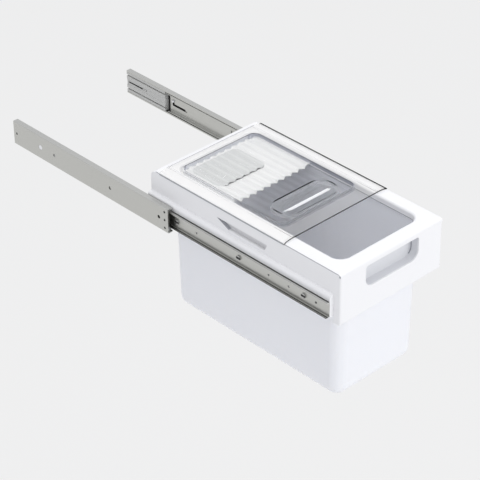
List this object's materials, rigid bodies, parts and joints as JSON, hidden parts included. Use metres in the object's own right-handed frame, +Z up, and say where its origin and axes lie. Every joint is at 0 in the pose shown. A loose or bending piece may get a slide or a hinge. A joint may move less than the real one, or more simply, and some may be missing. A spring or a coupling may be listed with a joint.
{
  "type": "pull-out grain storage drawer",
  "caption": "White carrier frame on telescopic ball-bearing slides, holding a deep translucent grain bin with a clear sliding lid and a recessed pull in the front panel.",
  "frame": {"origin": "middle of the cabinet's clear width, at the front ends and the bottom edges of the two cabinet members", "axes": "+X to the right seen from in front, +Y into the cabinet along the slides, +Z up"},
  "size_m": [0.268, 0.766, 0.2683],
  "materials": {
    "zinc_steel": "satin zinc plate",
    "screw_steel": "bright plated",
    "ball_steel": "polished",
    "grey_plastic": "moulded",
    "damper_metal": "turned",
    "white_plastic": "satin moulded",
    "pocket_plastic": "satin moulded",
    "bin_plastic": "translucent moulded",
    "clear_plastic": "clear moulded"
  },
  "bodies": {
    "cabinet": {"cabinet_member_left": "zinc_steel", "cabinet_member_right": "zinc_steel", "soft_close_housing_left": "grey_plastic", "soft_close_housing_right": "grey_plastic", "damper_cylinder_left": "damper_metal", "damper_cylinder_right": "damper_metal", "closing_spring_left": "screw_steel", "closing_spring_right": "screw_steel"},
    "drawer": {"drawer_member_left": "zinc_steel", "drawer_member_right": "zinc_steel", "ledge_screws_left": "screw_steel", "ledge_screws_right": "screw_steel", "slide_ledge_left": "white_plastic", "slide_ledge_right": "white_plastic", "slot_tray_left": "white_plastic", "slot_tray_right": "white_plastic", "carrier_frame": "white_plastic", "handle_pocket": "pocket_plastic"},
    "middle_left": {"middle_member_left": "zinc_steel", "middle_buffer_left": "white_plastic"},
    "outer_cage_left": {"outer_ball_cage_left": "zinc_steel", "outer_balls_left": "ball_steel"},
    "inner_cage_left": {"inner_ball_cage_left": "zinc_steel", "inner_balls_left": "ball_steel"},
    "catch_left": {"soft_close_catch_left": "grey_plastic", "piston_rod_left": "screw_steel"},
    "middle_right": {"middle_member_right": "zinc_steel", "middle_buffer_right": "white_plastic"},
    "outer_cage_right": {"outer_ball_cage_right": "zinc_steel", "outer_balls_right": "ball_steel"},
    "inner_cage_right": {"inner_ball_cage_right": "zinc_steel", "inner_balls_right": "ball_steel"},
    "catch_right": {"soft_close_catch_right": "grey_plastic", "piston_rod_right": "screw_steel"},
    "container": {"grain_bin": "bin_plastic", "lid_frame": "white_plastic", "rear_cover": "white_plastic", "cover_mat": "pocket_plastic"},
    "lid": {"sliding_lid": "clear_plastic", "lid_grip": "clear_plastic"}
  },
  "joints": [
    {"name": "drawer_slide", "type": "slide", "parent": "cabinet", "child": "drawer", "axis": [0, 1, 0], "range_m": [0, 0.352]},
    {"name": "middle_slide_left", "type": "slide", "parent": "cabinet", "child": "middle_left", "axis": [0, 1, 0], "range_m": [-0.178, 0]},
    {"name": "outer_cage_slide_left", "type": "slide", "parent": "cabinet", "child": "outer_cage_left", "axis": [0, 1, 0], "range_m": [-0.089, 0]},
    {"name": "inner_cage_slide_left", "type": "slide", "parent": "cabinet", "child": "inner_cage_left", "axis": [0, 1, 0], "range_m": [0, 0.176]},
    {"name": "catch_slide_left", "type": "slide", "parent": "cabinet", "child": "catch_left", "axis": [0, 1, 0], "range_m": [0, 0.038]},
    {"name": "middle_slide_right", "type": "slide", "parent": "cabinet", "child": "middle_right", "axis": [0, 1, 0], "range_m": [-0.178, 0]},
    {"name": "outer_cage_slide_right", "type": "slide", "parent": "cabinet", "child": "outer_cage_right", "axis": [0, 1, 0], "range_m": [-0.089, 0]},
    {"name": "inner_cage_slide_right", "type": "slide", "parent": "cabinet", "child": "inner_cage_right", "axis": [0, 1, 0], "range_m": [0, 0.176]},
    {"name": "catch_slide_right", "type": "slide", "parent": "cabinet", "child": "catch_right", "axis": [0, 1, 0], "range_m": [0, 0.038]},
    {"name": "container_lift", "type": "slide", "parent": "drawer", "child": "container", "axis": [0, 0, 1], "range_m": [0, 0.26]},
    {"name": "lid_slide", "type": "slide", "parent": "container", "child": "lid", "axis": [0, -1, 0], "range_m": [0, 0.09]}
  ],
  "couplings": [
    {"joint": "outer_cage_slide_left", "follows": "middle_slide_left", "ratio": 0.5},
    {"joint": "inner_cage_slide_left", "follows": "drawer_slide", "ratio": 0.5},
    {"joint": "outer_cage_slide_right", "follows": "middle_slide_right", "ratio": 0.5},
    {"joint": "inner_cage_slide_right", "follows": "drawer_slide", "ratio": 0.5}
  ]
}
